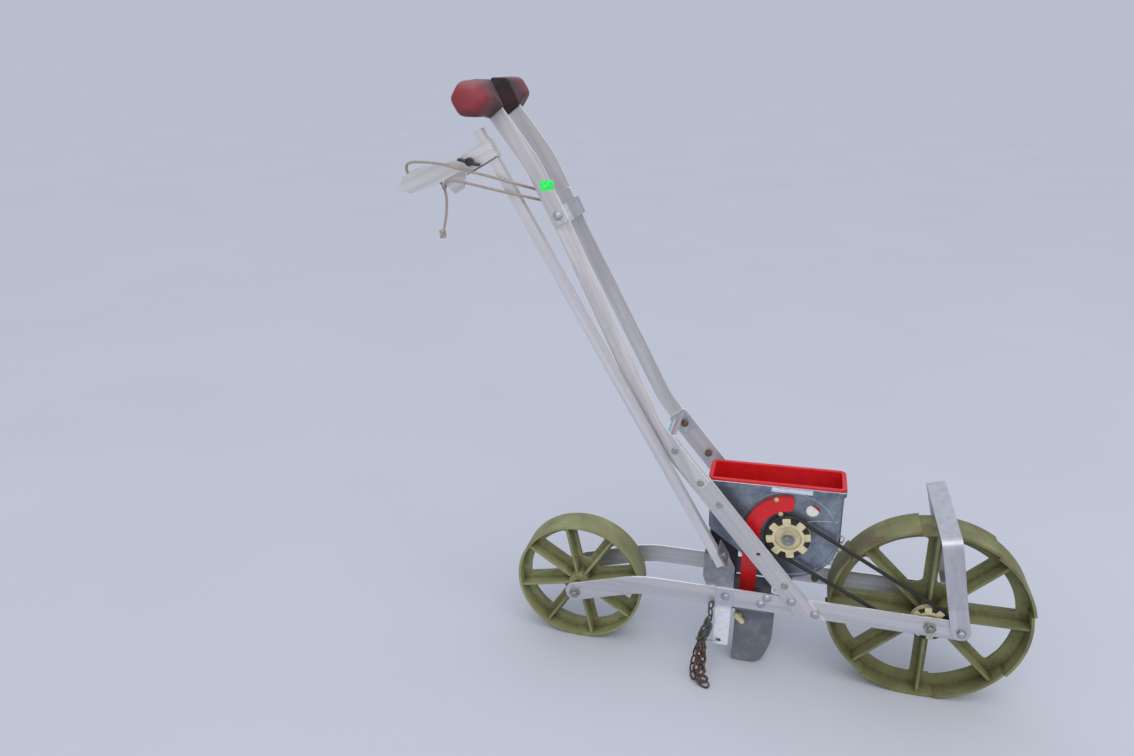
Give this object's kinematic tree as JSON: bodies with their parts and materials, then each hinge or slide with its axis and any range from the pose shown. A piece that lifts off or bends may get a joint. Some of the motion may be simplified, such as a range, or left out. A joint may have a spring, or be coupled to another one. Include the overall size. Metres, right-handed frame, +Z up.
{
  "type": "garden seeder",
  "caption": "Push row seeder with moulded wheels in line, belt-driven hopper, flat bar handles, folding stand and swinging row marker on a rope",
  "frame": {"origin": "on the ground under the middle of the machine", "axes": "+X forward in the direction of travel, from the handles to the front wheel; +Y to the machine's left; +Z up"},
  "size_m": [0.9074, 0.203, 0.8661],
  "materials": {
    "wheel_plastic": "moulded olive plastic, dusty",
    "frame_aluminium": "mill-finish aluminium bar, dull and scratched",
    "galvanised_sheet": "grey galvanised sheet, stained",
    "red_plastic": "bright red moulded plastic",
    "grip_plastic": "faded dark red moulded plastic",
    "cream_plastic": "cream moulded plastic, soiled",
    "belt_rubber": "black rubber",
    "zinc_steel": "zinc-plated steel, dull",
    "chain_steel": "rusty dirty steel chain",
    "shoe_steel": "grey coated steel, scuffed",
    "black_plastic": "dark grey plastic",
    "white_plastic": "white moulded plastic, soiled",
    "rope_fibre": "twisted natural-fibre rope, dirty"
  },
  "bodies": {
    "frame": {"drive_belt": "belt_rubber", "front_axle": "zinc_steel", "rear_axle": "zinc_steel", "side_rail_left": "frame_aluminium", "side_rail_right": "frame_aluminium", "lower_handle_left": "frame_aluminium", "lower_handle_right": "frame_aluminium", "middle_handle_left": "frame_aluminium", "middle_handle_right": "frame_aluminium", "upper_handle_left": "frame_aluminium", "upper_handle_right": "frame_aluminium", "handle_spacer_lower": "galvanised_sheet", "handle_spacer_upper": "galvanised_sheet", "grip_left": "grip_plastic", "grip_right": "grip_plastic", "hopper_shell": "galvanised_sheet", "hopper_liner": "red_plastic", "seed_chute": "red_plastic", "hopper_cradle": "galvanised_sheet", "opener_bracket": "galvanised_sheet", "opener_shoe": "shoe_steel", "shoe_knob": "cream_plastic", "chain_bracket": "frame_aluminium", "drag_chain": "chain_steel", "stand_pins": "zinc_steel", "marker_bracket": "galvanised_sheet", "marker_pin": "zinc_steel"},
    "front_wheel_set": {"front_wheel": "wheel_plastic", "front_pulley": "cream_plastic"},
    "rear_wheel_set": {"rear_wheel": "wheel_plastic"},
    "seed_drive_set": {"seed_pulley": "cream_plastic", "seed_shaft": "black_plastic", "seed_plate": "white_plastic"},
    "stand": {"folding_stand": "frame_aluminium"},
    "marker": {"marker_arm": "frame_aluminium", "marker_clamp": "galvanised_sheet", "marker_blade": "galvanised_sheet", "marker_wing_bolt": "black_plastic", "marker_rope": "rope_fibre", "rope_knot": "rope_fibre"}
  },
  "joints": [
    {"name": "front_wheel_turn", "type": "hinge", "parent": "frame", "child": "front_wheel_set", "pos_m": [0.314, 0, 0.13939], "axis": [0, 1, 0], "continuous": true},
    {"name": "rear_wheel_turn", "type": "hinge", "parent": "frame", "child": "rear_wheel_set", "pos_m": [-0.2067, 0, 0.1016], "axis": [0, 1, 0], "continuous": true},
    {"name": "seed_drive_turn", "type": "hinge", "parent": "frame", "child": "seed_drive_set", "pos_m": [0.108, -0.0355, 0.246], "axis": [0, 1, 0], "continuous": true},
    {"name": "stand_swing", "type": "hinge", "parent": "frame", "child": "stand", "pos_m": [0.355, 0, 0.13989], "axis": [0, 1, 0], "range_deg": [0, 154]},
    {"name": "marker_swing", "type": "hinge", "parent": "frame", "child": "marker", "pos_m": [0.012, -0.066, 0.214], "axis": [0.8599, 0, 0.5105], "range_deg": [0, 100], "deforming": ["marker_rope"]}
  ],
  "couplings": [
    {"joint": "seed_drive_turn", "follows": "front_wheel_turn", "ratio": 0.8287}
  ]
}
